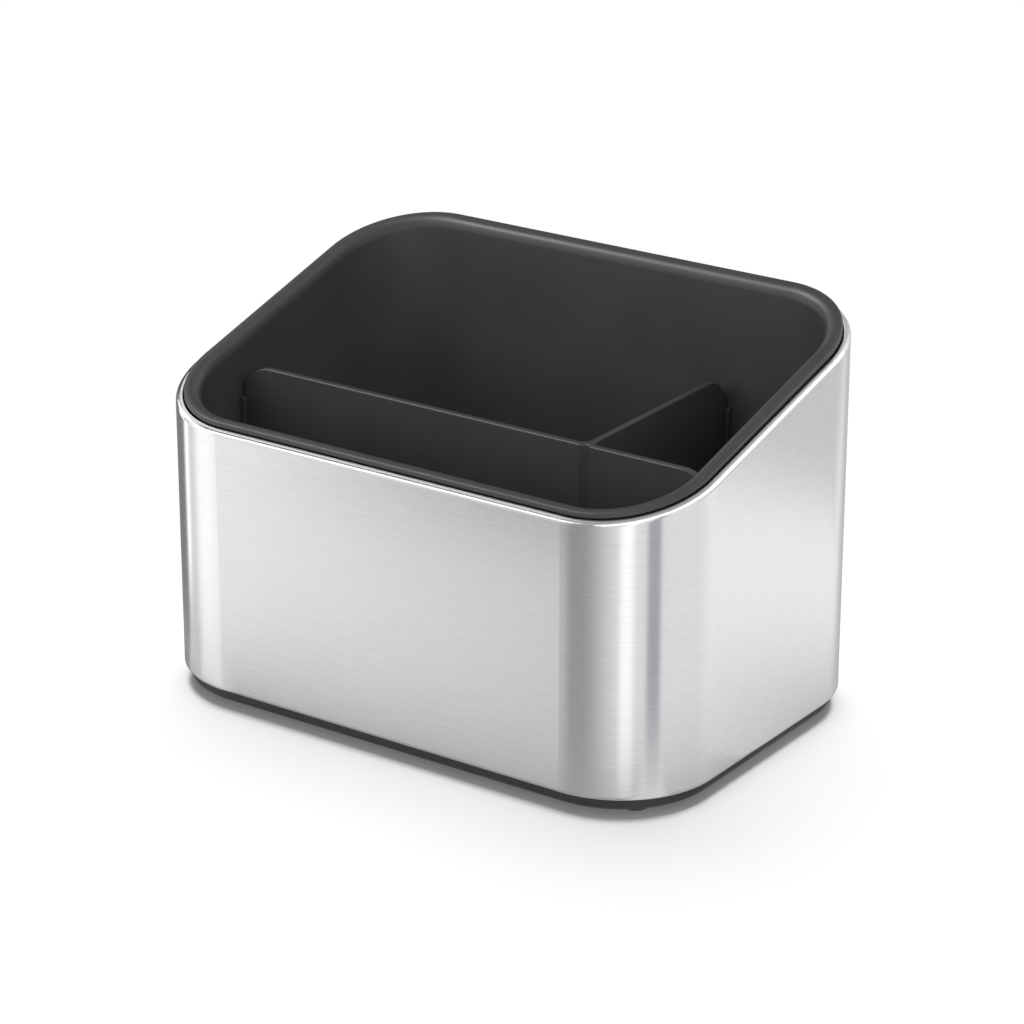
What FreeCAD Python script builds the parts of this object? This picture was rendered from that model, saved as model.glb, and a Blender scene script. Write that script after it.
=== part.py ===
"""A kitchen sink caddy: a brushed steel casing with a lift-out plastic tub and a lift-out divider.

Millimetres, +Z up. X runs across the width, the low front is at -Y, and the origin is on the surface
that the caddy stands on, under the middle of its footprint.
"""
import FreeCAD, Part
import math
import os
import re
import Sketcher

# Driving sizes: each is a cell of the sheet, with its number and what it measures.
SIZES = {
    "casing_width": (180.0, "outside of the steel, left to right"),
    "casing_depth": (122.7, "outside of the steel, front to back"),
    "corner_radius": (30.6, "plan radius of the steel's upright corners"),
    "top_angle": (15.16, "slope of the top, in degrees, rising to the back"),
    "foot_proud": (1.0, "how far the feet stand below the base"),
    "foot_diameter": (10.0, "round foot"),
    "foot_margin": (0.2, "flat left between a foot and the base's rounded edge"),
    "foot_recess": (0.8, "depth of the foot's seat in the base"),
    "foot_gap": (0.15, "clearance round the foot in its seat"),
    "foot_edge": (0.3, "rounded lower edge of the foot"),
    "base_height": (3.8, "underside of the base to the sleeve's lower edge"),
    "base_inset": (1.7, "base side, in from the outside of the steel"),
    "base_edge": (2.5, "rounded lower edge of the base"),
    "base_floor": (1.8, "thickness of the base's floor"),
    "sleeve_front_height": (81.0, "sleeve's lower edge to its top plane, at the front"),
    "sheet": (0.6, "thickness of the steel"),
    "top_curl": (1.5, "outer radius of the sleeve's turned-in top edge"),
    "lip_inset": (2.15, "free edge of the turned-in top, in from the outside"),
    "lip_edge": (0.25, "rounding of that free edge"),
    "bottom_curl": (1.6, "outer radius of the sleeve's turned-in lower edge"),
    "spigot_gap": (0.3, "clearance between the sleeve's lower flange and the base's spigot"),
    "spigot_wall": (1.8, "thickness of the base's spigot"),
    "spigot_height": (5.0, "spigot above the shoulder that the sleeve stands on"),
    "clip_gap": (0.15, "clearance between the flange and the clips above it"),
    "clip_reach": (0.9, "how far a clip stands out from the spigot"),
    "clip_height": (2.2, "height of a clip"),
    "clip_length": (12.0, "length of a clip along the spigot"),
    "clip_offset": (35.0, "front and back clips, out from the middle"),
    "seat_height": (2.2, "bosses that carry the tub, above the base's floor"),
    "seat_diameter": (9.0, "bosses that carry the tub"),
    "seat_margin": (0.5, "flat left between a boss and the tub's rounded lower edge"),
    "tub_gap": (0.8, "clearance between the tub's foot and the base's spigot"),
    "rim_gap": (0.25, "clearance between the steel lip and the tub's rim, in plan"),
    "rim_angle": (15.83, "slope of the tub's rim, in degrees, rising to the back"),
    "rim_rise": (1.45, "tub's rim above the sleeve's top plane, at the front"),
    "rim_lift": (0.2, "underside of the tub's rim above the sleeve's top plane"),
    "rim_outer_edge": (0.6, "rounded outer edge of the rim"),
    "rim_inner_edge": (3.2, "rounded inner edge of the rim"),
    "tub_inset": (8.3, "tub's inner wall at its floor, in from the outside of the steel"),
    "tub_draft": (0.5, "draft of the tub's walls, in degrees, wider towards the top"),
    "tub_wall": (2.0, "thickness of the tub's wall"),
    "tub_floor": (2.0, "thickness of the tub's floor"),
    "tub_floor_edge": (5.0, "inner radius between the tub's floor and its wall"),
    "plate": (2.4, "thickness of the divider's long plate"),
    "cross_plate": (2.1, "thickness of the divider's cross plate"),
    "divider_height": (83.65, "divider's top edge above the tub's floor"),
    "divider_setback": (41.85, "middle of the divider's long plate from the front of the casing"),
    "cross_offset": (40.0, "middle of the divider's cross plate, right of the middle"),
    "divider_corner": (10.0, "rounded top corners at the divider's free ends"),
    "divider_edge": (0.5, "rounded edges of the divider"),
    "divider_web": (2.4, "fillets where the two plates meet"),
    "groove_width": (3.2, "groove in the long plate's front, opposite the cross plate"),
    "groove_depth": (1.1, "depth of that groove"),
    "groove_edge": (0.8, "rounded shoulders of that groove"),
    "end_gap": (0.5, "clearance between the divider's ends and the tub's walls"),
    "rib_gap": (0.3, "clearance between a guide rib and the divider's plate"),
    "rib": (1.2, "thickness of a guide rib"),
    "rib_reach": (1.8, "how far a guide rib stands out from the wall"),
    "rib_drop": (10.0, "top of the guide ribs below the divider's top edge"),
    "rib_lead": (0.8, "bevel at the top of each guide rib"),
}

# Places and sizes worked out from the driving sizes, as expressions.
HALF_WIDTH = "(casing_width / 2)"
HALF_DEPTH = "(casing_depth / 2)"
CLEAR = "(casing_width + casing_depth)"
BASE_TOP = "(foot_proud + base_height)"
BASE_FLOOR_TOP = "(foot_proud + base_floor)"
FLANGE_TOP = f"({BASE_TOP} + sheet)"
TOP_FRONT = f"({BASE_TOP} + sleeve_front_height)"
TOP_BACK = f"({TOP_FRONT} + casing_depth * tan(top_angle))"
ABOVE_ALL = f"({TOP_BACK} + {CLEAR})"
SHEET_DROP = "(sheet / cos(top_angle))"
TUB_BOTTOM = f"({BASE_FLOOR_TOP} + seat_height)"
TUB_FLOOR_TOP = f"({TUB_BOTTOM} + tub_floor)"
TUB_OUTSIDE = "(tub_inset - tub_wall)"
TUB_OUTER_EDGE = "(tub_floor_edge + tub_wall)"
RIM_INSET = "(lip_inset + rim_gap)"
SPIGOT_INNER = f"({TUB_OUTSIDE} - tub_gap)"
SPIGOT_INSET = f"({SPIGOT_INNER} - spigot_wall)"
FLANGE_INSET = f"({SPIGOT_INSET} - spigot_gap)"
FOOT_OUT = "(corner_radius - base_inset - base_edge - foot_margin - foot_diameter / 2)"
SEAT_OUT = f"(corner_radius - {TUB_OUTSIDE} - {TUB_OUTER_EDGE} - seat_margin - seat_diameter / 2)"
LONG_Y = f"(divider_setback - {HALF_DEPTH})"
LONG_FRONT = f"({LONG_Y} - plate / 2)"
LONG_BACK = f"({LONG_Y} + plate / 2)"
DIVIDER_TOP = f"({TUB_FLOOR_TOP} + divider_height)"
RIB_TOP = f"({DIVIDER_TOP} - rib_drop)"
RIB_BESIDE = "(rib_gap + rib / 2)"
GROOVE_RADIUS = "((groove_width ^ 2 / 4 + groove_depth ^ 2) / (2 * groove_depth))"

NEAR = 1e-4
QUARTER_TURN = math.pi / 2
CORNERS = {
    "front_left": (-1, -1),
    "front_right": (1, -1),
    "back_left": (-1, 1),
    "back_right": (1, 1),
}

doc = FreeCAD.newDocument("sink_caddy")
sheet = doc.addObject("Spreadsheet::Sheet", "sizes")
for row, (alias, (number, meaning)) in enumerate(SIZES.items(), 1):
    sheet.set(f"A{row}", alias)
    sheet.set(f"B{row}", str(number))
    sheet.setAlias(f"B{row}", alias)
    sheet.set(f"C{row}", meaning)
doc.recompute()


def cells(text):
    """Puts the sheet's name before each size that an expression names."""
    return re.sub(r"[a-z_]+", lambda word: f"sizes.{word[0]}" if word[0] in SIZES else word[0], text)


def value(text):
    """Works out an expression with the sheet's present numbers."""
    return float(sheet.evalExpression(cells(text)))


def bind(thing, target, text):
    """Ties one property of an object to an expression of the sheet's sizes."""
    thing.setExpression(target, cells(text))


def wall_inset(height):
    """The inset of the tub's drafted inner wall at a height."""
    return f"(tub_inset - ({height} - {TUB_FLOOR_TOP}) * tan(tub_draft))"


def top_plane(along, lift, slope):
    """The height of a slanted plane, raised by a lift at the casing's front, at a place front to back."""
    return f"({TOP_FRONT} + {lift} + ({along} + {HALF_DEPTH}) * tan({slope}))"


def new_body(name):
    """Starts an empty body."""
    return doc.addObject("PartDesign::Body", name)


def sketch_on(body, role, offset="0"):
    """Starts a sketch on one of a body's origin planes, moved out along the plane's normal."""
    sketch = body.newObject("Sketcher::SketchObject", f"{body.Name}_sketch")
    support = [plane for plane in body.Origin.OriginFeatures if plane.Role == role]
    sketch.AttachmentSupport = [(support[0], "")]
    sketch.MapMode = "FlatFace"
    bind(sketch, "AttachmentOffset.Base.z", offset)
    return sketch


def dimension(sketch, name, constraint, text):
    """Adds a driving constraint to a sketch and ties it to an expression."""
    sketch.renameConstraint(sketch.addConstraint(constraint), name)
    bind(sketch, f"Constraints.{name}", text)


def polygon(sketch, points):
    """Draws a closed outline whose corners are pairs of expressions."""
    spots = [FreeCAD.Vector(value(x), value(y), 0) for x, y in points]
    count = len(spots)
    for index in range(count):
        sketch.addGeometry(Part.LineSegment(spots[index], spots[(index + 1) % count]))
    for index in range(count):
        sketch.addConstraint(Sketcher.Constraint("Coincident", index, 2, (index + 1) % count, 1))
    for index, (x, y) in enumerate(points):
        across = Sketcher.Constraint("DistanceX", -1, 1, index, 1, spots[index].x)
        upward = Sketcher.Constraint("DistanceY", -1, 1, index, 1, spots[index].y)
        dimension(sketch, f"across_{index}", across, x)
        dimension(sketch, f"upward_{index}", upward, y)


def circle(sketch, x, y, radius):
    """Draws a circle whose centre and radius are expressions."""
    centre = FreeCAD.Vector(value(x), value(y), 0)
    sketch.addGeometry(Part.Circle(centre, FreeCAD.Vector(0, 0, 1), value(radius)))
    dimension(sketch, "across", Sketcher.Constraint("DistanceX", -1, 1, 0, 3, centre.x), x)
    dimension(sketch, "upward", Sketcher.Constraint("DistanceY", -1, 1, 0, 3, centre.y), y)
    dimension(sketch, "radius", Sketcher.Constraint("Radius", 0, value(radius)), radius)


def plan(sketch, inset):
    """Draws the casing's rounded plan outline, moved in by an inset."""
    width = f"(casing_width - 2 * {inset})"
    depth = f"(casing_depth - 2 * {inset})"
    radius = f"(corner_radius - {inset})"
    bend = value(radius)
    half_x = value(width) / 2
    half_y = value(depth) / 2
    run_x = half_x - bend
    run_y = half_y - bend
    runs = [
        (-run_x, -half_y, run_x, -half_y),
        (half_x, -run_y, half_x, run_y),
        (run_x, half_y, -run_x, half_y),
        (-half_x, run_y, -half_x, -run_y),
    ]
    centres = [(run_x, -run_y), (run_x, run_y), (-run_x, run_y), (-run_x, -run_y)]
    for x0, y0, x1, y1 in runs:
        sketch.addGeometry(Part.LineSegment(FreeCAD.Vector(x0, y0, 0), FreeCAD.Vector(x1, y1, 0)))
    for quarter, (x, y) in enumerate(centres):
        whole = Part.Circle(FreeCAD.Vector(x, y, 0), FreeCAD.Vector(0, 0, 1), bend)
        start = (quarter - 1) * QUARTER_TURN
        sketch.addGeometry(Part.ArcOfCircle(whole, start, start + QUARTER_TURN))
    # The straight runs are geometry 0 to 3, and each one's arc, which follows it, is 4 further on.
    for side in range(4):
        arc = side + 4
        sketch.addConstraint(Sketcher.Constraint("Tangent", side, 2, arc, 1))
        sketch.addConstraint(Sketcher.Constraint("Tangent", arc, 2, (side + 1) % 4, 1))
        sketch.addConstraint(Sketcher.Constraint("Vertical" if side % 2 else "Horizontal", side))
        if side:
            sketch.addConstraint(Sketcher.Constraint("Equal", 4, arc))
    sketch.addConstraint(Sketcher.Constraint("Symmetric", 4, 3, 6, 3, -1, 1))
    dimension(sketch, "width", Sketcher.Constraint("DistanceX", 3, 1, 1, 1, 2 * half_x), width)
    dimension(sketch, "depth", Sketcher.Constraint("DistanceY", 0, 1, 2, 1, 2 * half_y), depth)
    dimension(sketch, "radius", Sketcher.Constraint("Radius", 4, bend), radius)


def pad(body, sketch, length, both_ways=False):
    """Adds the solid swept by a sketch, along its normal or equally to both sides."""
    feature = body.newObject("PartDesign::Pad", f"{body.Name}_pad")
    feature.Profile = sketch
    feature.SideType = "Symmetric" if both_ways else "One side"
    bind(feature, "Length", length)
    doc.recompute()


def pocket(body, sketch):
    """Cuts a sketch through the whole body, to both sides of the sketch."""
    before = body.Shape.Volume
    feature = body.newObject("PartDesign::Pocket", f"{body.Name}_pocket")
    feature.Profile = sketch
    feature.SideType = "Symmetric"
    feature.Type = "ThroughAll"
    doc.recompute()
    if body.Shape.Volume >= before:
        raise RuntimeError(f"{feature.Name} cuts nothing")


def fillet(body, radius, wanted):
    """Rounds the edges of a body that pass a test."""
    base = body.Tip
    names = [f"Edge{index}" for index, edge in enumerate(base.Shape.Edges, 1) if wanted(edge)]
    feature = body.newObject("PartDesign::Fillet", f"{body.Name}_fillet")
    feature.Base = (base, names)
    bind(feature, "Radius", radius)
    doc.recompute()


def draft_walls(body):
    """Leans a block's upright walls outward by the tub's draft, from its lower face up."""
    base = body.Tip
    walls = []
    for index, face in enumerate(base.Shape.Faces, 1):
        u, _, v, _ = face.ParameterRange
        lean = face.normalAt(u, v).z
        if abs(lean) < NEAR:
            walls.append(f"Face{index}")
        elif lean < 0:
            underside = f"Face{index}"
    feature = body.newObject("PartDesign::Draft", f"{body.Name}_draft")
    feature.Base = (base, walls)
    feature.NeutralPlane = (base, [underside])
    bind(feature, "Angle", "tub_draft")
    feature.Reversed = True
    doc.recompute()


def boolean(body, kind, tools):
    """Joins other bodies to a body (Fuse) or cuts them out of it (Cut)."""
    feature = body.newObject("PartDesign::Boolean", f"{body.Name}_{kind.lower()}")
    feature.Type = kind
    feature.setObjects(tools)
    doc.recompute()


def plan_block(name, inset, bottom, top):
    """A body with the casing's plan, moved in by an inset, between two heights."""
    body = new_body(name)
    sketch = sketch_on(body, "XY_Plane", bottom)
    plan(sketch, inset)
    pad(body, sketch, f"{top} - {bottom}")
    return body


def round_block(name, x, y, diameter, bottom, top):
    """An upright round body between two heights."""
    body = new_body(name)
    sketch = sketch_on(body, "XY_Plane", bottom)
    circle(sketch, x, y, f"({diameter} / 2)")
    pad(body, sketch, f"{top} - {bottom}")
    return body


def slant_cut(body, lift, limit, slope):
    """Cuts a body off at a slanted top plane, raised by a lift, on the side that holds a height."""
    front = f"(0 - {CLEAR})"
    sketch = sketch_on(body, "YZ_Plane")
    corners = [(front, top_plane(front, lift, slope)), (CLEAR, top_plane(CLEAR, lift, slope))]
    polygon(sketch, corners + [(CLEAR, limit), (front, limit)])
    pocket(body, sketch)


def at_height(height):
    """A test for edges that lie in a level plane."""
    level = value(height)

    def wanted(edge):
        return abs(edge.BoundBox.ZMin - level) < NEAR and abs(edge.BoundBox.ZMax - level) < NEAR

    return wanted


def on_top_plane(lift, slope):
    """A test for edges that lie in a slanted top plane, raised by a lift."""

    def wanted(edge):
        ends = [edge.valueAt(edge.FirstParameter), edge.valueAt(edge.LastParameter)]
        return all(abs(end.z - value(top_plane(f"({end.y})", lift, slope))) < NEAR for end in ends)

    return wanted


def inner_loop(body, lift, slope):
    """A test for the edges of the opening in a body's slanted top face, raised by a lift."""
    level = on_top_plane(lift, slope)
    faces = [face for face in body.Tip.Shape.Faces if all(level(edge) for edge in face.Edges)]
    loops = [wire for face in faces for wire in face.Wires if not wire.isSame(face.OuterWire)]
    edges = [edge for wire in loops for edge in wire.Edges]
    return lambda edge: any(edge.isSame(other) for other in edges)


def upright_at(x, y):
    """A test for upright edges through a place in plan."""
    across = value(x)
    along = value(y)

    def wanted(edge):
        box = edge.BoundBox
        middle = box.Center
        upright = box.XLength < NEAR and box.YLength < NEAR
        return upright and abs(middle.x - across) < NEAR and abs(middle.y - along) < NEAR

    return wanted


def corner_place(sign, out, half):
    """A place on the diagonal of a casing corner, out from the centre of its arc, along one axis."""
    return f"({sign} * ({half} - corner_radius + {out} / sqrt(2)))"


def make_sleeve():
    """The steel wall: one sheet, turned in at the slanted top and at the bottom."""
    body = plan_block("outer_sleeve", "0", BASE_TOP, ABOVE_ALL)
    slant_cut(body, "0", f"({ABOVE_ALL} + {CLEAR})", "top_angle")
    fillet(body, "top_curl", on_top_plane("0", "top_angle"))
    fillet(body, "bottom_curl", at_height(BASE_TOP))
    inside = plan_block("sleeve_inside", "sheet", FLANGE_TOP, ABOVE_ALL)
    slant_cut(inside, f"(0 - {SHEET_DROP})", f"({ABOVE_ALL} + {CLEAR})", "top_angle")
    fillet(inside, "(top_curl - sheet)", on_top_plane(f"(0 - {SHEET_DROP})", "top_angle"))
    fillet(inside, "(bottom_curl - sheet)", at_height(FLANGE_TOP))
    middle = f"({BASE_TOP} + sleeve_front_height / 2)"
    mouth = plan_block("sleeve_mouth", "lip_inset", middle, ABOVE_ALL)
    hole = plan_block("sleeve_hole", FLANGE_INSET, "0", middle)
    boolean(body, "Cut", [inside, mouth, hole])
    fillet(body, "lip_edge", inner_loop(body, "0", "top_angle"))
    return body


def add_clips(body):
    """Adds the clips on the base's spigot that hold the sleeve's lower flange down."""
    low = f"({FLANGE_TOP} + clip_gap)"
    high = f"({low} + clip_height)"
    for sign in (-1, 1):
        for role, half, places in (
            ("YZ_Plane", HALF_DEPTH, ("(0 - clip_offset)", "clip_offset")),
            ("XZ_Plane", HALF_WIDTH, ("0",)),
        ):
            root = f"({sign} * ({half} - {SPIGOT_INSET} - spigot_wall / 2))"
            face = f"({sign} * ({half} - {SPIGOT_INSET}))"
            tip = f"({sign} * ({half} - {SPIGOT_INSET} + clip_reach))"
            for place in places:
                sketch = sketch_on(body, role, place)
                polygon(sketch, [(root, low), (tip, low), (face, high), (root, high)])
                pad(body, sketch, "clip_length", both_ways=True)


def make_base():
    """The moulded base: a skirt, a shoulder for the sleeve, a spigot with clips, and the tub's seats."""
    body = plan_block("base_tray", "base_inset", "foot_proud", BASE_TOP)
    fillet(body, "base_edge", at_height("foot_proud"))
    spigot_top = f"({BASE_TOP} + spigot_height)"
    boolean(body, "Fuse", [plan_block("base_spigot", SPIGOT_INSET, BASE_FLOOR_TOP, spigot_top)])
    hollows = [plan_block("base_hollow", SPIGOT_INNER, BASE_FLOOR_TOP, ABOVE_ALL)]
    seats = []
    for name, (sign_x, sign_y) in CORNERS.items():
        foot_x = corner_place(sign_x, FOOT_OUT, HALF_WIDTH)
        foot_y = corner_place(sign_y, FOOT_OUT, HALF_DEPTH)
        recess_top = "(foot_proud + foot_recess)"
        recess_width = "(foot_diameter + 2 * foot_gap)"
        hollows.append(round_block(f"foot_seat_{name}", foot_x, foot_y, recess_width, "0", recess_top))
        boss_x = corner_place(sign_x, SEAT_OUT, HALF_WIDTH)
        boss_y = corner_place(sign_y, SEAT_OUT, HALF_DEPTH)
        boss_root = "(foot_proud + base_floor / 2)"
        boss = round_block(f"tub_seat_{name}", boss_x, boss_y, "seat_diameter", boss_root, TUB_BOTTOM)
        seats.append(boss)
    boolean(body, "Cut", hollows)
    boolean(body, "Fuse", seats)
    add_clips(body)
    return body


def make_foot(name, sign_x, sign_y):
    """One round rubber foot, placed in its seat under the base."""
    body = round_block(f"foot_{name}", "0", "0", "foot_diameter", "0", "(foot_proud + foot_recess)")
    fillet(body, "foot_edge", at_height("0"))
    bind(body, "Placement.Base.x", corner_place(sign_x, FOOT_OUT, HALF_WIDTH))
    bind(body, "Placement.Base.y", corner_place(sign_y, FOOT_OUT, HALF_DEPTH))
    doc.recompute()
    return body


def make_rim():
    """The tub's rim before it is opened: a slanted flange that reaches out over the gap to the steel."""
    body = plan_block("tub_rim", RIM_INSET, TUB_BOTTOM, ABOVE_ALL)
    slant_cut(body, "rim_rise", f"({ABOVE_ALL} + {CLEAR})", "rim_angle")
    slant_cut(body, "rim_lift", f"(0 - {CLEAR})", "top_angle")
    fillet(body, "rim_outer_edge", on_top_plane("rim_rise", "rim_angle"))
    return body


def add_guides(body):
    """Adds the pairs of guide ribs on the tub's side walls and back wall that hold the divider."""
    root_low = f"({TUB_BOTTOM} + tub_floor / 2)"
    bevel = f"({RIB_TOP} - rib_lead)"

    def outline(sign, half):
        tip_low = f"({sign} * ({half} - {wall_inset(root_low)} - rib_reach))"
        tip_bevel = f"({sign} * ({half} - {wall_inset(bevel)} - rib_reach))"
        tip_high = f"({sign} * ({half} - {wall_inset(RIB_TOP)} - rib_reach + rib_lead))"
        root_high = f"({sign} * ({half} - {wall_inset(RIB_TOP)} + tub_wall / 2))"
        foot = f"({sign} * ({half} - {wall_inset(root_low)} + tub_wall / 2))"
        heights = [root_low, root_low, bevel, RIB_TOP, RIB_TOP]
        return list(zip([foot, tip_low, tip_bevel, tip_high, root_high], heights))

    for side in (-1, 1):
        for wall in (-1, 1):
            sketch = sketch_on(body, "XZ_Plane", f"({side} * (plate / 2 + {RIB_BESIDE}) - {LONG_Y})")
            polygon(sketch, outline(wall, HALF_WIDTH))
            pad(body, sketch, "rib", both_ways=True)
        sketch = sketch_on(body, "YZ_Plane", f"(cross_offset + {side} * (cross_plate / 2 + {RIB_BESIDE}))")
        polygon(sketch, outline(1, HALF_DEPTH))
        pad(body, sketch, "rib", both_ways=True)


def make_tub():
    """The moulded tub: drafted walls, a floor, a slanted rim, and the divider's guides."""
    body = plan_block("inner_tub", TUB_OUTSIDE, TUB_BOTTOM, ABOVE_ALL)
    draft_walls(body)
    slant_cut(body, "((rim_rise + rim_lift) / 2)", f"({ABOVE_ALL} + {CLEAR})", "rim_angle")
    fillet(body, TUB_OUTER_EDGE, at_height(TUB_BOTTOM))
    boolean(body, "Fuse", [make_rim()])
    cavity = plan_block("tub_cavity", "tub_inset", TUB_FLOOR_TOP, ABOVE_ALL)
    draft_walls(cavity)
    fillet(cavity, "tub_floor_edge", at_height(TUB_FLOOR_TOP))
    boolean(body, "Cut", [cavity])
    fillet(body, "rim_inner_edge", inner_loop(body, "rim_rise", "rim_angle"))
    add_guides(body)
    return body


def make_divider():
    """The moulded divider: a long plate and a cross plate in one T, with rounded free ends."""
    body = new_body("divider")

    def end(half, height, sign=1):
        return f"({sign} * ({half} - {wall_inset(height)} - end_gap))"

    sketch = sketch_on(body, "XZ_Plane", f"(0 - {LONG_Y})")
    left_low = end(HALF_WIDTH, TUB_FLOOR_TOP, -1)
    left_high = end(HALF_WIDTH, DIVIDER_TOP, -1)
    right_low = end(HALF_WIDTH, TUB_FLOOR_TOP)
    right_high = end(HALF_WIDTH, DIVIDER_TOP)
    heights = [TUB_FLOOR_TOP, TUB_FLOOR_TOP, DIVIDER_TOP, DIVIDER_TOP]
    polygon(sketch, list(zip([left_low, right_low, right_high, left_high], heights)))
    pad(body, sketch, "plate", both_ways=True)
    sketch = sketch_on(body, "YZ_Plane", "cross_offset")
    back_low = end(HALF_DEPTH, TUB_FLOOR_TOP)
    back_high = end(HALF_DEPTH, DIVIDER_TOP)
    polygon(sketch, list(zip([LONG_Y, back_low, back_high, LONG_Y], heights)))
    pad(body, sketch, "cross_plate", both_ways=True)

    def free_end(height):
        level = at_height(height)
        reach_x = value(end(HALF_WIDTH, height))
        reach_y = value(end(HALF_DEPTH, height))

        def wanted(edge):
            middle = edge.BoundBox.Center
            at_end = abs(abs(middle.x) - reach_x) < NEAR or abs(middle.y - reach_y) < NEAR
            return at_end and level(edge)

        return wanted

    fillet(body, "divider_corner", free_end(DIVIDER_TOP))
    fillet(body, "(tub_floor_edge + end_gap)", free_end(TUB_FLOOR_TOP))
    sketch = sketch_on(body, "XY_Plane", TUB_FLOOR_TOP)
    circle(sketch, "cross_offset", f"({LONG_FRONT} + groove_depth - {GROOVE_RADIUS})", GROOVE_RADIUS)
    pocket(body, sketch)
    for side in (-1, 1):
        fillet(body, "divider_web", upright_at(f"(cross_offset + {side} * cross_plate / 2)", LONG_BACK))
        fillet(body, "groove_edge", upright_at(f"(cross_offset + {side} * groove_width / 2)", LONG_FRONT))
    fillet(body, "divider_edge", at_height(DIVIDER_TOP))
    return body


subparts = [make_sleeve(), make_base(), make_tub(), make_divider()]
subparts += [make_foot(name, sign_x, sign_y) for name, (sign_x, sign_y) in CORNERS.items()]

for thing in doc.Objects:
    if "Invalid" in thing.State or "Error" in thing.State:
        raise RuntimeError(f"{thing.Name} did not build: {thing.State}")
os.makedirs("parts", exist_ok=True)
for subpart in subparts:
    shape = subpart.Shape
    if shape.isNull() or not shape.isValid() or len(shape.Solids) != 1:
        raise RuntimeError(f"{subpart.Label} is not one sound solid")
for subpart in subparts:
    subpart.Shape.exportStep(f"parts/{subpart.Label}.step")
    box = subpart.Shape.BoundBox
    spans = [round(span, 2) for span in (box.XLength, box.YLength, box.ZLength)]
    print(subpart.Label, round(subpart.Shape.Volume, 1), spans)
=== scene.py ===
"""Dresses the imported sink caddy: a brushed steel casing, a moulded tub and divider, and a white studio.

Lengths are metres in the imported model's frame: +Z up, the low front at -Y, the origin on the floor.
Azimuths are degrees about +Z: 0 is the direction of the front (-Y), 90 that of the right side (+X).
Light levels are those at which a white card looks that bright: 1 is white.
"""

import logging
import math
from dataclasses import dataclass
from enum import Enum

import bmesh
import bpy
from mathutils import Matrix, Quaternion, Vector

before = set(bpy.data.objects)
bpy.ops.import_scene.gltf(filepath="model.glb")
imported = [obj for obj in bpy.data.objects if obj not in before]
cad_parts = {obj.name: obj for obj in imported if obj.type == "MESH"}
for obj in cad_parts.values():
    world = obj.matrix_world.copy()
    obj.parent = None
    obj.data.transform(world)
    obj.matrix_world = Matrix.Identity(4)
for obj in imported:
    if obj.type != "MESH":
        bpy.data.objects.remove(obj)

LOG = logging.getLogger("sink_caddy")

Colour = tuple[float, float, float]
Inputs = dict[str | int, object]

WHITE = (1.0, 1.0, 1.0, 1.0)
FULL_TURN = 360.0
HALF_TURN = 180.0
RIGHT_ANGLE = 90.0

# Most values of a noise lie between these two.
NOISE_LOW = 0.3
NOISE_HIGH = 0.7

# Places of the Mix node's colour sockets, which share their names with its other sockets.
MIX_FIRST = 6
MIX_SECOND = 7
MIX_RESULT = 2

# Turns the stretch of the steel's reflections from along the brush lines to across them.
ACROSS_LINES = 0.25

# The layer of the set's meshes that holds their light, or how much they cover.
GLOW_LAYER = "glow"

# Rays that don't see the pieces of the set that are there for reflections.
HIDDEN_RAYS = ("camera", "diffuse", "transmission", "volume_scatter", "shadow")

# Points across a floor patch, in half widths. It covers in full between the inner two.
PATCH_STEPS = (-1.0, -0.5, 0.5, 1.0)


class Board:
    """A node tree that is being wired."""

    def __init__(self, tree: bpy.types.NodeTree) -> None:
        """Clears a tree and takes it over."""
        tree.nodes.clear()
        self.tree = tree

    def add(self, kind: str, inputs: Inputs | None = None, **settings: object) -> bpy.types.Node:
        """Adds a node, sets its properties, and sets or links its inputs.

        Args:
            kind: The node's type name without its first word.
            inputs: Values or other nodes' output sockets, by the name or place of the input.
            settings: Properties of the node, by name.

        Returns:
            The new node.
        """
        node = self.tree.nodes.new(f"ShaderNode{kind}")
        for name, value in settings.items():
            setattr(node, name, value)
        self.put(node, inputs or {})
        return node

    def put(self, node: bpy.types.Node, inputs: Inputs) -> None:
        """Sets or links a node's inputs.

        Args:
            node: The node to change.
            inputs: Values or other nodes' output sockets, by the name or place of the input.
        """
        for key, value in inputs.items():
            if isinstance(value, bpy.types.NodeSocket):
                self.tree.links.new(value, node.inputs[key])
            else:
                node.inputs[key].default_value = value

    def math(self, operation: str, first: object, second: object) -> bpy.types.NodeSocket:
        """Adds a sum of two numbers or sockets, such as MULTIPLY, and returns its result."""
        return self.add("Math", {0: first, 1: second}, operation=operation).outputs[0]

    def mean(self, first: object, second: object) -> bpy.types.NodeSocket:
        """Adds the mean of two numbers or sockets, and returns it."""
        return self.math("DIVIDE", self.math("ADD", first, second), 2.0)

    def between(self, noise: bpy.types.NodeSocket, low: object, high: object) -> bpy.types.NodeSocket:
        """Spreads the useful middle of a noise over a range, and returns the result."""
        limits = {"From Min": NOISE_LOW, "From Max": NOISE_HIGH, "To Min": low, "To Max": high}
        return self.add("MapRange", {"Value": noise, **limits}).outputs["Result"]


class Effect(Enum):
    """Surface effects that finishes share, each built once as a node group."""

    MOTTLE = "colour_mottle"
    GRAIN = "mould_grain"
    LINES = "drawn_lines"
    FILM = "handling_film"


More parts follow.
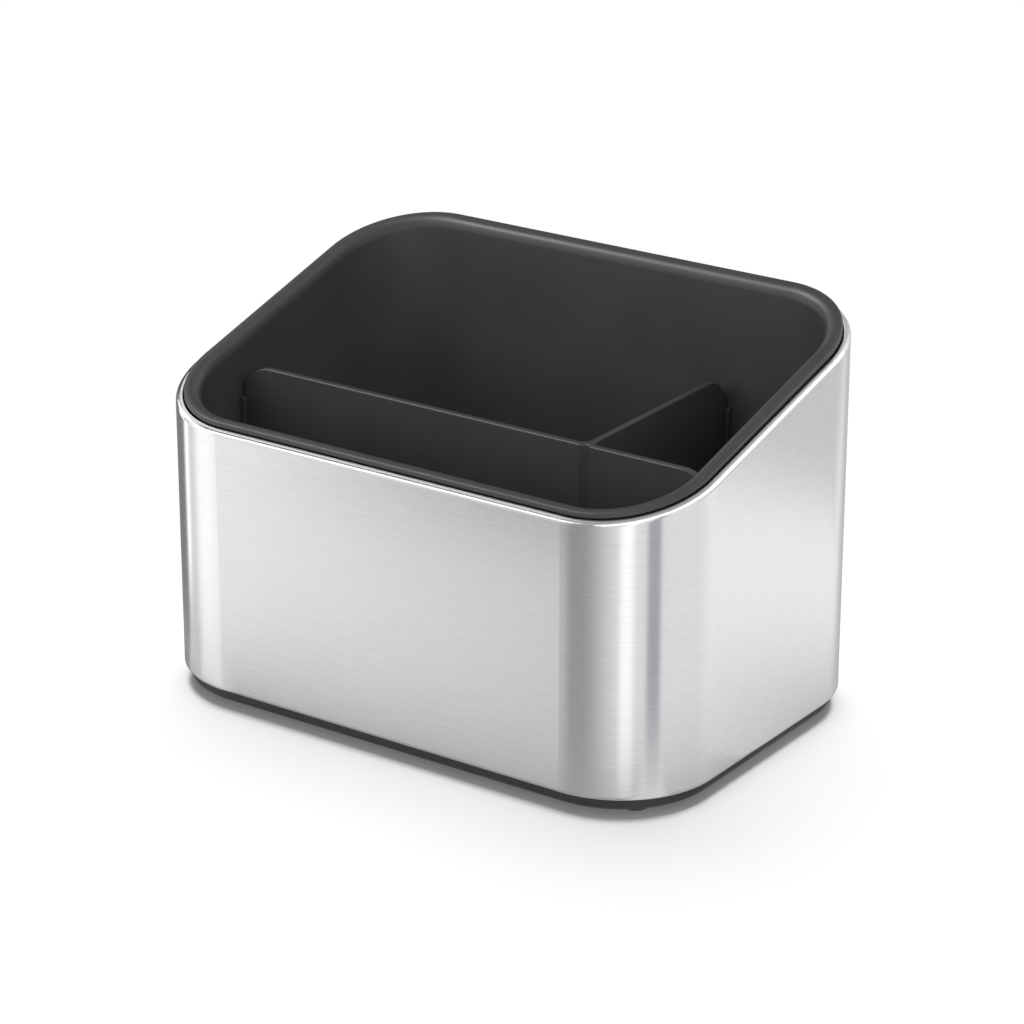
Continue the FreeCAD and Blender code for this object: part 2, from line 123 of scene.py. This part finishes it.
class Effects:
    """Builds the shared node groups when a finish first asks for them."""

    MOTTLE_DETAIL = 3.0
    GRAIN_DETAIL = 2.0
    GRAIN_ROUGHNESS = 0.6
    LINE_DETAIL = 1.0
    COARSE_LINES = 2.0
    FILM_DETAIL = 4.0

    @staticmethod
    def place(board: Board, effect: Effect, inputs: Inputs) -> bpy.types.Node:
        """Puts a shared effect into a material.

        Args:
            board: The material's tree.
            effect: Which effect.
            inputs: The material's own values for the effect.

        Returns:
            The group's node.
        """
        group = bpy.data.node_groups.get(effect.value)
        if group is None:
            group = bpy.data.node_groups.new(effect.value, "ShaderNodeTree")
            builders = {
                Effect.MOTTLE: Effects.build_mottle,
                Effect.GRAIN: Effects.build_grain,
                Effect.LINES: Effects.build_lines,
                Effect.FILM: Effects.build_film,
            }
            builders[effect](group)
        return board.add("Group", inputs, node_tree=group)

    @staticmethod
    def sockets(group: bpy.types.NodeTree, inputs: dict[str, str], outputs: dict[str, str]) -> None:
        """Gives a group its named sockets.

        Args:
            group: The group.
            inputs: Socket kinds, Float or Color, by name.
            outputs: Socket kinds by name.
        """
        for side, wanted in (("INPUT", inputs), ("OUTPUT", outputs)):
            for name, kind in wanted.items():
                group.interface.new_socket(name, in_out=side, socket_type=f"NodeSocket{kind}")

    @staticmethod
    def ends(group: bpy.types.NodeTree) -> tuple[Board, bpy.types.Node, bpy.types.NodeSocket]:
        """Starts a group's wiring.

        Args:
            group: The group, with its sockets made.

        Returns:
            The board, the node that holds the group's inputs, and the place on the object.
        """
        board = Board(group)
        given = group.nodes.new("NodeGroupInput")
        place = board.add("TexCoord").outputs["Object"]
        return board, given, place

    @staticmethod
    def close(board: Board, results: dict[str, bpy.types.NodeSocket]) -> None:
        """Links a group's results to its outputs, by name."""
        board.put(board.tree.nodes.new("NodeGroupOutput"), results)

    @staticmethod
    def build_mottle(group: bpy.types.NodeTree) -> None:
        """Wires a colour that drifts a little lighter and darker over the surface.

        Args:
            group: The empty group.
        """
        Effects.sockets(group, {"Color": "Color", "Scale": "Float", "Amount": "Float"}, {"Color": "Color"})
        board, given, place = Effects.ends(group)
        drift = {"Vector": place, "Scale": given.outputs["Scale"], "Detail": Effects.MOTTLE_DETAIL}
        noise = board.add("TexNoise", drift)
        low = board.math("SUBTRACT", 1.0, given.outputs["Amount"])
        high = board.math("ADD", 1.0, given.outputs["Amount"])
        share = board.between(noise.outputs["Fac"], low, high)
        tint = board.add("VectorMath", {"Vector": given.outputs["Color"], "Scale": share}, operation="SCALE")
        Effects.close(board, {"Color": tint.outputs["Vector"]})

    @staticmethod
    def build_grain(group: bpy.types.NodeTree) -> None:
        """Wires the fine pebbled height of a spark-eroded mould.

        Args:
            group: The empty group.
        """
        Effects.sockets(group, {"Size": "Float"}, {"Height": "Float"})
        board, given, place = Effects.ends(group)
        scale = board.math("DIVIDE", 1.0, given.outputs["Size"])
        fine = board.add("TexNoise", {
            "Vector": place,
            "Scale": scale,
            "Detail": Effects.GRAIN_DETAIL,
            "Roughness": Effects.GRAIN_ROUGHNESS,
        })
        pits = board.add("TexVoronoi", {"Vector": place, "Scale": scale}, feature="SMOOTH_F1")
        Effects.close(board, {"Height": board.mean(fine.outputs["Fac"], pits.outputs["Distance"])})

    @staticmethod
    def build_lines(group: bpy.types.NodeTree) -> None:
        """Wires level drawn lines of one length and width, with coarser ones laid over them.

        Args:
            group: The empty group.
        """
        Effects.sockets(group, {"Length": "Float", "Width": "Float"}, {"Lines": "Float"})
        board, given, place = Effects.ends(group)
        layers = []
        for coarser in (1.0, Effects.COARSE_LINES):
            along = board.math("DIVIDE", 1.0 / coarser, given.outputs["Length"])
            across = board.math("DIVIDE", 1.0 / coarser, given.outputs["Width"])
            stretch = board.add("CombineXYZ", {"X": along, "Y": along, "Z": across})
            drawn = board.add("VectorMath", {0: place, 1: stretch.outputs["Vector"]}, operation="MULTIPLY")
            lines = {"Vector": drawn.outputs["Vector"], "Scale": 1.0, "Detail": Effects.LINE_DETAIL}
            layers.append(board.add("TexNoise", lines).outputs["Fac"])
        Effects.close(board, {"Lines": board.between(board.mean(*layers), 0.0, 1.0)})

    @staticmethod
    def build_film(group: bpy.types.NodeTree) -> None:
        """Wires a roughness with the soft, wide unevenness that handling and wiping leave.

        Args:
            group: The empty group.
        """
        inputs = {"Roughness": "Float", "Amount": "Float", "Scale": "Float"}
        Effects.sockets(group, inputs, {"Roughness": "Float"})
        board, given, place = Effects.ends(group)
        wiped = {"Vector": place, "Scale": given.outputs["Scale"], "Detail": Effects.FILM_DETAIL}
        noise = board.add("TexNoise", wiped)
        low = board.math("SUBTRACT", given.outputs["Roughness"], given.outputs["Amount"])
        high = board.math("ADD", given.outputs["Roughness"], given.outputs["Amount"])
        Effects.close(board, {"Roughness": board.between(noise.outputs["Fac"], low, high)})


def opaque(colour: Colour) -> tuple[float, float, float, float]:
    """The colour as a node socket takes it."""
    return (*colour, 1.0)


def new_material(name: str) -> tuple[bpy.types.Material, Board]:
    """Starts a material.

    Args:
        name: Its name.

    Returns:
        The material and its empty node tree.
    """
    made = bpy.data.materials.new(name)
    made.use_nodes = True
    return made, Board(made.node_tree)


@dataclass(frozen=True)
class SteelFinish:
    """Brushed sheet steel: level drawn lines that stretch its reflections upright."""

    name: str = "brushed_steel"
    dark: Colour = (0.746, 0.746, 0.754)
    light: Colour = (0.794, 0.794, 0.800)
    roughness: float = 0.18
    roughness_spread: float = 0.012
    stretch: float = 0.75
    line_length: float = 0.005
    line_width: float = 0.00032
    line_depth: float = 0.0000015
    film_scale: float = 22.0
    film_amount: float = 0.012

    def material(self) -> bpy.types.Material:
        """Builds the steel's material.

        Returns:
            The material.
        """
        made, board = new_material(self.name)
        lines = Effects.place(board, Effect.LINES, {"Length": self.line_length, "Width": self.line_width})
        drawn = lines.outputs["Lines"]
        shades = {"Factor": drawn, MIX_FIRST: opaque(self.dark), MIX_SECOND: opaque(self.light)}
        tint = board.add("Mix", shades, data_type="RGBA")
        streak = board.add("MapRange", {
            "Value": drawn,
            "To Min": self.roughness - self.roughness_spread,
            "To Max": self.roughness + self.roughness_spread,
        })
        film = {"Roughness": streak.outputs["Result"], "Amount": self.film_amount, "Scale": self.film_scale}
        worn = Effects.place(board, Effect.FILM, film)
        bump = board.add("Bump", {"Height": drawn, "Distance": self.line_depth, "Strength": 1.0})
        tangent = board.add("Tangent", direction_type="RADIAL", axis="Z")
        shader = board.add("BsdfPrincipled", {
            "Base Color": tint.outputs[MIX_RESULT],
            "Metallic": 1.0,
            "Roughness": worn.outputs["Roughness"],
            "Anisotropic": self.stretch,
            "Anisotropic Rotation": ACROSS_LINES,
            "Normal": bump.outputs["Normal"],
            "Tangent": tangent.outputs["Tangent"],
        })
        board.add("OutputMaterial", {"Surface": shader.outputs["BSDF"]})
        return made


@dataclass(frozen=True)
class MouldedFinish:
    """A moulded plastic or rubber with a fine mould grain."""

    name: str
    colour: Colour
    roughness: float
    grain_size: float
    grain_depth: float
    gloss: float = 0.5
    mottle_scale: float = 60.0
    mottle_amount: float = 0.05
    film_scale: float = 30.0
    film_amount: float = 0.03

    def material(self) -> bpy.types.Material:
        """Builds the moulding's material.

        Returns:
            The material.
        """
        made, board = new_material(self.name)
        tint = {"Color": opaque(self.colour), "Scale": self.mottle_scale, "Amount": self.mottle_amount}
        mottle = Effects.place(board, Effect.MOTTLE, tint)
        film = {"Roughness": self.roughness, "Amount": self.film_amount, "Scale": self.film_scale}
        worn = Effects.place(board, Effect.FILM, film)
        grain = Effects.place(board, Effect.GRAIN, {"Size": self.grain_size})
        bump = board.add("Bump", {"Height": grain.outputs["Height"], "Distance": self.grain_depth})
        shader = board.add("BsdfPrincipled", {
            "Base Color": mottle.outputs["Color"],
            "Roughness": worn.outputs["Roughness"],
            "Specular IOR Level": self.gloss,
            "Normal": bump.outputs["Normal"],
        })
        board.add("OutputMaterial", {"Surface": shader.outputs["BSDF"]})
        return made


TUB_PLASTIC = MouldedFinish("tub_plastic", (0.040, 0.040, 0.043), 0.42, 0.0004, 0.00001)


def dress_nodes(names: tuple[str, ...], material: bpy.types.Material) -> None:
    """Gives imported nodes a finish.

    Args:
        names: The nodes.
        material: The finish.
    """
    for name in names:
        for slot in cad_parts[name].material_slots:
            slot.material = material
        LOG.info("%s dressed in %s", name, material.name)


@dataclass
class Casing:
    """The steel sleeve on its moulded base and four rubber feet."""

    steel: SteelFinish = SteelFinish()
    base: MouldedFinish = MouldedFinish("base_plastic", (0.023, 0.023, 0.025), 0.55, 0.0004, 0.00001)
    rubber: MouldedFinish = MouldedFinish("foot_rubber", (0.018, 0.018, 0.018), 0.75, 0.0006, 0.00003)
    corners: tuple[str, ...] = ("front_left", "front_right", "back_left", "back_right")

    def dress(self) -> None:
        """Gives the sleeve, the base and the feet their finishes."""
        dress_nodes(("outer_sleeve",), self.steel.material())
        dress_nodes(("base_tray",), self.base.material())
        dress_nodes(tuple(f"foot_{corner}" for corner in self.corners), self.rubber.material())


@dataclass
class Tub:
    """The moulded tub that lifts out of the casing."""

    plastic: bpy.types.Material

    def dress(self) -> None:
        """Gives the tub its finish."""
        dress_nodes(("inner_tub",), self.plastic)


@dataclass
class Divider:
    """The T-shaped divider that lifts out of the tub's channels."""

    plastic: bpy.types.Material

    def dress(self) -> None:
        """Gives the divider its finish."""
        dress_nodes(("divider",), self.plastic)


def grey(level: float, blue: float = 0.0) -> Colour:
    """A grey of one level, with a little more blue where that is given."""
    return level, level, level + blue


def toward(azimuth: float, elevation: float) -> Vector:
    """The direction from the object to a place round the set.

    Args:
        azimuth: Degrees about +Z from the front.
        elevation: Degrees above the floor.

    Returns:
        A direction of length 1.
    """
    turn = math.radians(azimuth)
    lift = math.radians(elevation)
    return Vector((math.sin(turn) * math.cos(lift), -math.cos(turn) * math.cos(lift), math.sin(lift)))


def put_in_scene(name: str, data: bpy.types.ID) -> bpy.types.Object:
    """Makes an object and puts it into the scene.

    Args:
        name: The object's name.
        data: Its mesh, lamp or camera.

    Returns:
        The object.
    """
    made = bpy.data.objects.new(name, data)
    bpy.context.scene.collection.objects.link(made)
    return made


@dataclass(frozen=True)
class Card:
    """A light or dark upright panel round the set: where it stands, how its edges fade, and what it adds."""

    start: float
    end: float
    fade_before: float
    fade_after: float
    level: Colour

    def share(self, azimuth: float) -> float:
        """How much of the panel is seen in one direction.

        Args:
            azimuth: The direction, in degrees.

        Returns:
            1 on the panel, falling smoothly to 0 over its faded edges.
        """
        middle = (self.start + self.end) / 2
        turned = middle + (azimuth - middle + HALF_TURN) % FULL_TURN - HALF_TURN
        before = (turned - self.start) / self.fade_before + 1.0
        after = (self.end - turned) / self.fade_after + 1.0
        seen = max(0.0, min(1.0, before, after))
        return seen * seen * (3.0 - 2.0 * seen)


class Lit(Enum):
    """What a lamp lights."""

    FLOOR = "floor"
    OBJECT = "object"


@dataclass(frozen=True)
class Lamp:
    """A distant round lamp: where it hangs, how wide it looks, its level and what it lights.

    Where nodes are named in shaded_by, they alone cast shadows in its light.
    """

    name: str
    azimuth: float
    elevation: float
    spread: float
    level: float
    lit: Lit
    shaded_by: tuple[str, ...] = ()


@dataclass(frozen=True)
class Softbox:
    """A bright flat panel that only reflections in some nodes see."""

    name: str
    azimuth: float
    elevation: float
    distance: float
    width: float
    height: float
    level: float
    lit: tuple[str, ...]


@dataclass(frozen=True)
class FloorShade:
    """A painted shadow round the base: a dark ring on the floor, which only reflections see, in place of the
    floor's own shadow there.

    It runs from start to reach, both out from the base's outline, and covers the floor by depth at its inner
    edge. Rings that lie over each other differ in height.
    """

    name: str
    start: float
    reach: float
    depth: float
    falloff: float
    level: float
    height: float
    shift: tuple[float, float] = (0.0, 0.0)
    half_width: float = 0.0883
    half_depth: float = 0.0597
    corner: float = 0.0289
    rows: int = 12
    corner_steps: int = 8

    def loop(self, offset: float) -> list[Vector]:
        """An outline of the base, moved outward.

        Args:
            offset: How far it is moved.

        Returns:
            The outline's points on the floor.
        """
        points = []
        for quarter in range(4):
            side = math.radians(RIGHT_ANGLE * (quarter + 0.5))
            centre_x = self.shift[0] + math.copysign(self.half_width - self.corner, math.cos(side))
            centre_y = self.shift[1] + math.copysign(self.half_depth - self.corner, math.sin(side))
            for step in range(self.corner_steps + 1):
                turn = math.radians(RIGHT_ANGLE * (quarter + step / self.corner_steps))
                x = centre_x + (self.corner + offset) * math.cos(turn)
                y = centre_y + (self.corner + offset) * math.sin(turn)
                points.append(Vector((x, y, self.height)))
        return points


@dataclass(frozen=True)
class FloorEnd:
    """Painted shade: the dim far floor beyond one edge of the white sheet, which only reflections see."""

    name: str
    across: tuple[float, float, float, float]
    depths: tuple[float, float, float]
    cover: float


@dataclass(frozen=True)
class FloorPatch:
    """A patch of painted light or shade, lighter or darker, that runs out over the floor from the base,
    which only reflections see.
    """

    name: str
    start: tuple[float, float]
    azimuth: float
    reach: float
    near_half: float
    far_half: float
    cover: float
    level: float
    height: float = 0.0002
    rows: int = 12


@dataclass
class Studio:
    """A pale floor, soft lamps, a room of cards for the steel to reflect, painted light and shade on the
    floor for those reflections, and the camera.
    """

    floor_half: float = 8.0
    floor_drop: float = 0.0001
    floor_colour: Colour = (0.8, 0.8, 0.8)
    floor_lift: float = 0.125
    fill_level: float = 0.12
    lamps: tuple[Lamp, ...] = (
        Lamp("overhead", -153.0, 60.5, 20.0, 0.627, Lit.FLOOR, ("base_tray",)),
        Lamp("overhead_soft", -138.0, 69.0, 44.0, 0.46, Lit.FLOOR),
        Lamp("top_fill", 0.0, 80.0, 100.0, 0.16, Lit.OBJECT),
        Lamp("rear_fill", -147.0, 35.0, 60.0, 0.22, Lit.OBJECT),
        Lamp("front_fill", -14.0, 27.0, 50.0, 0.65, Lit.OBJECT),
        Lamp("right_fill", 82.0, 36.0, 60.0, 0.60, Lit.OBJECT),
    )
    softboxes: tuple[Softbox, ...] = (
        Softbox("key_box", -76.0, 52.0, 2.0, 1.2, 0.6, 11.0, ("inner_tub", "divider")),
        Softbox("rim_box", -122.0, 20.0, 1.9, 0.7, 0.6, 1.1, ("inner_tub",)),
        Softbox("steel_box", -60.0, 43.0, 2.0, 1.4, 1.0, 2.0, ("outer_sleeve",)),
        Softbox("near_box", 40.0, 42.0, 2.0, 2.4, 1.5, 1.5, ("outer_sleeve",)),
        Softbox("right_box", 92.0, 37.0, 2.0, 1.8, 1.4, 1.5, ("outer_sleeve",)),
        Softbox("edge_box", 131.0, 31.0, 2.0, 1.2, 1.2, 1.7, ("outer_sleeve",)),
        Softbox("corner_box", -92.0, 30.0, 2.0, 0.8, 0.7, 1.8, ("outer_sleeve",)),
        Softbox("lip_box", -120.0, 50.0, 2.0, 1.4, 0.8, 0.95, ("outer_sleeve",)),
        Softbox("lip_line", -143.0, 18.0, 2.0, 1.0, 0.8, 6.0, ("outer_sleeve",)),
    )
    # Painted shadow on the floor round the base, which only the steel's reflections see.
    shades: tuple[FloorShade, ...] = (
        FloorShade("near_shade", 0.0, 0.20, 1.0, 5.0, 0.45, 0.0),
        FloorShade("contact_shade", -0.010, 0.016, 1.0, 1.6, 0.06, 0.0004, (-0.006, 0.0)),
    )
    # Patches of painted light and shade on the floor, which only reflections see.
    patches: tuple[FloorPatch, ...] = (
        FloorPatch("corner_patch", (0.0782, -0.0485), 68.0, 0.085, 0.008, 0.016, 1.0, 0.85),
        FloorPatch("right_patch", (0.0880, 0.0020), 149.5, 0.120, 0.036, 0.045, 0.35, 0.95),
        FloorPatch("left_patch", (-0.0683, -0.0580), -91.0, 0.120, 0.006, 0.014, 1.8, 0.70),
        FloorPatch("front_patch", (-0.0640, -0.0590), -55.0, 0.120, 0.010, 0.030, 0.55, 1.15),
    )
    # Painted shade of the dim far floor, which only reflections see.
    floor_ends: tuple[FloorEnd, ...] = (
        FloorEnd("front_end", (-0.19, -0.14, -0.06, 0.06), (-0.21, -0.25, -1.5), 0.75),
        FloorEnd("back_end", (0.12, 0.18, 1.2, 1.5), (0.165, 0.215, 1.5), 0.5),
    )
    end_level: float = 0.30
    end_height: float = -0.0002
    ceiling_level: float = 0.42
    room_radius: float = 3.0
    room_low: float = -4.0
    room_high: float = 5.0
    room_steps: int = 720
    room_level: Colour = grey(0.905, 0.01)
    cards: tuple[Card, ...] = (
        Card(-64.0, -52.0, 14.0, 20.0, grey(0.37)),
        Card(-16.0, -8.0, 25.0, 46.0, grey(-0.53)),
        Card(36.5, 42.5, 7.0, 8.0, grey(0.40)),
        Card(63.0, 73.0, 5.0, 3.0, (-0.46, -0.47, -0.44)),
        Card(143.0, 156.0, 26.0, 30.0, grey(0.17)),
        Card(190.0, 222.0, 28.0, 4.0, grey(-0.34)),
        Card(-84.0, -80.0, 5.0, 9.0, grey(-0.10)),
        Card(-93.5, -89.0, 2.5, 5.0, grey(0.60)),
        Card(-145.0, -97.0, 4.0, 3.0, grey(-0.68)),
    )
    camera_place: tuple[float, float, float] = (0.56271, -0.80360, 0.43815)
    camera_azimuth: float = 34.952
    camera_elevation: float = 21.324
    camera_roll: float = 0.046
    lens: float = 126.82
    sensor: float = 36.0

    def build(self) -> None:
        """Sets up everything round the object."""
        bpy.context.scene.view_settings.view_transform = "Standard"
        floor = self.build_floor()
        self.build_room()
        self.build_ceiling()
        for shade in self.shades:
            self.build_shade(shade)
        for patch in self.patches:
            self.build_patch(patch)
        for end in self.floor_ends:
            self.build_floor_end(end)
        for softbox in self.softboxes:
            self.build_softbox(softbox)
        for lamp in self.lamps:
            self.build_lamp(lamp, floor)
        self.build_world()
        self.build_camera()

    @staticmethod
    def sheet(name: str, half_width: float, half_depth: float, height: float = 0.0) -> bpy.types.Mesh:
        """A level rectangle about the middle.

        Args:
            name: The mesh's name.
            half_width: Half its size along X.
            half_depth: Half its size along Y.
            height: Its height.

        Returns:
            The mesh.
        """
        signs = ((-1.0, -1.0), (1.0, -1.0), (1.0, 1.0), (-1.0, 1.0))
        corners = [(half_width * right, half_depth * back, height) for right, back in signs]
        mesh = bpy.data.meshes.new(name)
        mesh.from_pydata(corners, [], [tuple(range(len(corners)))])
        return mesh

    @staticmethod
    def strip(
        name: str, rows: list[list[Vector]], tints: list[list[Colour]], closed: bool
    ) -> bpy.types.Mesh:
        """Joins rows of points into a band that carries a colour at each point.

        Args:
            name: The mesh's name.
            rows: Rows of as many points each.
            tints: The colours of the points, laid out as the rows are.
            closed: Whether each row ends where it starts.

        Returns:
            The mesh, with its colours in GLOW_LAYER.
        """
        shape = bmesh.new()
        glow = shape.verts.layers.float_color.new(GLOW_LAYER)
        made = []
        for points, colours in zip(rows, tints):
            row = []
            for point, colour in zip(points, colours):
                vert = shape.verts.new(point)
                vert[glow] = opaque(colour)
                row.append(vert)
            made.append(row)
        for low, high in zip(made, made[1:]):
            for step in range(len(low) if closed else len(low) - 1):
                after = (step + 1) % len(low)
                shape.faces.new((low[step], low[after], high[after], high[step]))
        mesh = bpy.data.meshes.new(name)
        shape.to_mesh(mesh)
        shape.free()
        return mesh

    @staticmethod
    def faded(cover: float) -> list[Colour]:
        """The cover at four points across a piece of floor, which fades out to both sides."""
        return [grey(0.0), grey(cover), grey(cover), grey(0.0)]

    @staticmethod
    def reflect_only(mesh: bpy.types.Mesh, material: bpy.types.Material) -> bpy.types.Object:
        """Stands a piece of the set where only reflections see it.

        Args:
            mesh: Its shape.
            material: Its material.

        Returns:
            The object.
        """
        mesh.materials.append(material)
        panel = put_in_scene(mesh.name, mesh)
        for ray in HIDDEN_RAYS:
            setattr(panel, f"visible_{ray}", False)
        return panel

    @staticmethod
    def glowing(name: str, level: float) -> bpy.types.Material:
        """A material that gives plain light.

        Args:
            name: Its name.
            level: Its light.

        Returns:
            The material.
        """
        material, board = new_material(name)
        light = board.add("Emission", {"Color": opaque(grey(level)), "Strength": 1.0})
        board.add("OutputMaterial", {"Surface": light.outputs["Emission"]})
        return material

    @staticmethod
    def shading(name: str, level: float) -> bpy.types.Material:
        """A material that lays painted light or shade over what is under it, as far as the mesh's colours
        say.

        Args:
            name: Its name.
            level: Its own light.

        Returns:
            The material.
        """
        material, board = new_material(name)
        material.cycles.emission_sampling = "NONE"
        cover = board.add("Attribute", attribute_name=GLOW_LAYER)
        clear = board.add("BsdfTransparent")
        laid = board.add("Emission", {"Color": opaque(grey(level)), "Strength": 1.0})
        mixed = board.add("MixShader", {
            "Fac": cover.outputs["Fac"],
            1: clear.outputs["BSDF"],
            2: laid.outputs["Emission"],
        })
        board.add("OutputMaterial", {"Surface": mixed.outputs["Shader"]})
        return material

    @staticmethod
    def group(name: str, things: list[bpy.types.Object]) -> bpy.types.Collection:
        """Puts things into a collection of their own.

        Args:
            name: The collection's name.
            things: What goes into it.

        Returns:
            The collection.
        """
        made = bpy.data.collections.new(name)
        for thing in things:
            made.objects.link(thing)
        return made

    @staticmethod
    def light_only(light: bpy.types.Object, things: list[bpy.types.Object]) -> None:
        """Keeps a lamp or a glowing panel to the things that it lights."""
        light.light_linking.receiver_collection = Studio.group(f"{light.name}_lights", things)

    def build_floor(self) -> bpy.types.Object:
        """Lays the pale floor, which keeps the object's shadow.

        Returns:
            The floor.
        """
        material, board = new_material("studio_floor")
        paint = board.add("BsdfDiffuse", {"Color": opaque(self.floor_colour)})
        path = board.add("LightPath")
        lift = board.math("MULTIPLY", path.outputs["Is Camera Ray"], self.floor_lift)
        glow = board.add("Emission", {"Color": WHITE, "Strength": lift})
        both = board.add("AddShader", {0: paint.outputs["BSDF"], 1: glow.outputs["Emission"]})
        board.add("OutputMaterial", {"Surface": both.outputs["Shader"]})
        mesh = self.sheet("floor", self.floor_half, self.floor_half, -self.floor_drop)
        mesh.materials.append(material)
        floor = put_in_scene("floor", mesh)
        floor.visible_glossy = False
        return floor

    def build_room(self) -> None:
        """Stands a round screen about the set that carries the cards."""
        azimuths = [FULL_TURN * step / self.room_steps for step in range(self.room_steps)]
        colours = [self.room_colour(azimuth) for azimuth in azimuths]
        rows = []
        for height in (self.room_low, self.room_high):
            lift = Vector((0.0, 0.0, height))
            rows.append([toward(azimuth, 0.0) * self.room_radius + lift for azimuth in azimuths])
        material, board = new_material("studio_room")
        material.cycles.emission_sampling = "NONE"
        cards = board.add("Attribute", attribute_name=GLOW_LAYER)
        light = board.add("Emission", {"Color": cards.outputs["Color"], "Strength": 1.0})
        board.add("OutputMaterial", {"Surface": light.outputs["Emission"]})
        self.reflect_only(self.strip("room", rows, [colours, colours], closed=True), material)

    def room_colour(self, azimuth: float) -> Colour:
        """The screen's light in one direction.

        Args:
            azimuth: The direction, in degrees.

        Returns:
            The room's own level with every card that is seen there.
        """
        seen = [(card.share(azimuth), card.level) for card in self.cards]
        red, green, blue = (
            max(0.0, own + sum(share * level[part] for share, level in seen))
            for part, own in enumerate(self.room_level)
        )
        return red, green, blue

    def build_ceiling(self) -> None:
        """Closes the screen with a dim ceiling."""
        mesh = self.sheet("ceiling", self.room_radius, self.room_radius, self.room_high)
        self.reflect_only(mesh, self.glowing("studio_ceiling", self.ceiling_level))

    def build_softbox(self, softbox: Softbox) -> None:
        """Hangs a bright panel that faces the object.

        Args:
            softbox: Its place, size and light.
        """
        mesh = self.sheet(softbox.name, softbox.width / 2, softbox.height / 2)
        panel = self.reflect_only(mesh, self.glowing(softbox.name, softbox.level))
        out = toward(softbox.azimuth, softbox.elevation)
        panel.location = out * softbox.distance
        panel.rotation_mode = "QUATERNION"
        panel.rotation_quaternion = (-out).to_track_quat("Z", "Y")
        self.light_only(panel, [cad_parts[name] for name in softbox.lit])

    def build_shade(self, shade: FloorShade) -> None:
        """Lays a dark ring of painted shadow round the base, which the foot of the steel reflects.

        Args:
            shade: Its reach and its depth.
        """
        rows = []
        tints = []
        for row in range(shade.rows):
            share = row / (shade.rows - 1)
            loop = shade.loop(shade.start + (shade.reach - shade.start) * share)
            rows.append(loop)
            tints.append([grey(shade.depth * (1.0 - share) ** shade.falloff)] * len(loop))
        material = self.shading(shade.name, shade.level)
        self.reflect_only(self.strip(shade.name, rows, tints, closed=True), material)

    def build_patch(self, patch: FloorPatch) -> None:
        """Lays a patch of painted light or shade that fades away from the object and to both sides.

        Args:
            patch: Its place, size and light.
        """
        out = toward(patch.azimuth, 0.0)
        side = Vector((-out.y, out.x, 0.0))
        rows = []
        tints = []
        for row in range(patch.rows):
            share = row / (patch.rows - 1)
            middle = Vector((*patch.start, patch.height)) + out * patch.reach * share
            half = patch.near_half + (patch.far_half - patch.near_half) * share
            rows.append([middle + side * half * step for step in PATCH_STEPS])
            tints.append(self.faded(min(1.0, patch.cover * (1.0 - share))))
        material = self.shading(patch.name, patch.level)
        self.reflect_only(self.strip(patch.name, rows, tints, closed=False), material)

    def build_floor_end(self, end: FloorEnd) -> None:
        """Lays the painted shade of the dim floor beyond the white sheet, which fades in over its first row.

        Args:
            end: Its place and how much it covers.
        """
        rows = [[Vector((x, y, self.end_height)) for x in end.across] for y in end.depths]
        tints = [self.faded(cover) for cover in (0.0, end.cover, end.cover)]
        material = self.shading(end.name, self.end_level)
        self.reflect_only(self.strip(end.name, rows, tints, closed=False), material)

    def build_lamp(self, lamp: Lamp, floor: bpy.types.Object) -> None:
        """Hangs a lamp that faces the object.

        Args:
            lamp: The lamp's place and light.
            floor: The floor, for a lamp that lights it alone.
        """
        data = bpy.data.lights.new(lamp.name, "SUN")
        data.angle = math.radians(lamp.spread)
        data.energy = lamp.level * math.pi
        hung = put_in_scene(lamp.name, data)
        hung.rotation_mode = "QUATERNION"
        hung.rotation_quaternion = (-toward(lamp.azimuth, lamp.elevation)).to_track_quat("-Z", "Y")
        hung.visible_glossy = False
        self.light_only(hung, [floor] if lamp.lit is Lit.FLOOR else list(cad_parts.values()))
        if lamp.shaded_by:
            shaders = [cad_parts[name] for name in lamp.shaded_by]
            hung.light_linking.blocker_collection = self.group(f"{lamp.name}_shaders", shaders)

    def build_world(self) -> None:
        """Fills the set with even light, and shows white to the camera and to reflections."""
        world = bpy.data.worlds.new("studio")
        world.use_nodes = True
        board = Board(world.node_tree)
        path = board.add("LightPath")
        seen = path.outputs["Is Camera Ray"]
        for ray in ("Is Glossy Ray", "Is Transmission Ray"):
            seen = board.math("MAXIMUM", seen, path.outputs[ray])
        strength = board.add("MapRange", {"Value": seen, "To Min": self.fill_level, "To Max": 1.0})
        sky = board.add("Background", {"Color": WHITE, "Strength": strength.outputs["Result"]})
        board.add("OutputWorld", {"Surface": sky.outputs["Background"]})
        bpy.context.scene.world = world

    def build_camera(self) -> None:
        """Places the camera at the photograph's angle."""
        data = bpy.data.cameras.new("camera")
        data.lens = self.lens
        data.sensor_width = self.sensor
        camera = put_in_scene("camera", data)
        back = toward(self.camera_azimuth, self.camera_elevation)
        camera.location = self.camera_place
        camera.rotation_mode = "QUATERNION"
        roll = Quaternion((0.0, 0.0, 1.0), math.radians(self.camera_roll))
        camera.rotation_quaternion = (-back).to_track_quat("-Z", "Y") @ roll
        bpy.context.scene.camera = camera


def main() -> None:
    """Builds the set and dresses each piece."""
    logging.basicConfig(level=logging.INFO, format="%(name)s: %(message)s")
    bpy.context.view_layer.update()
    Studio().build()
    Casing().dress()
    plastic = TUB_PLASTIC.material()
    Tub(plastic).dress()
    Divider(plastic).dress()


if __name__ == "__main__":
    main()
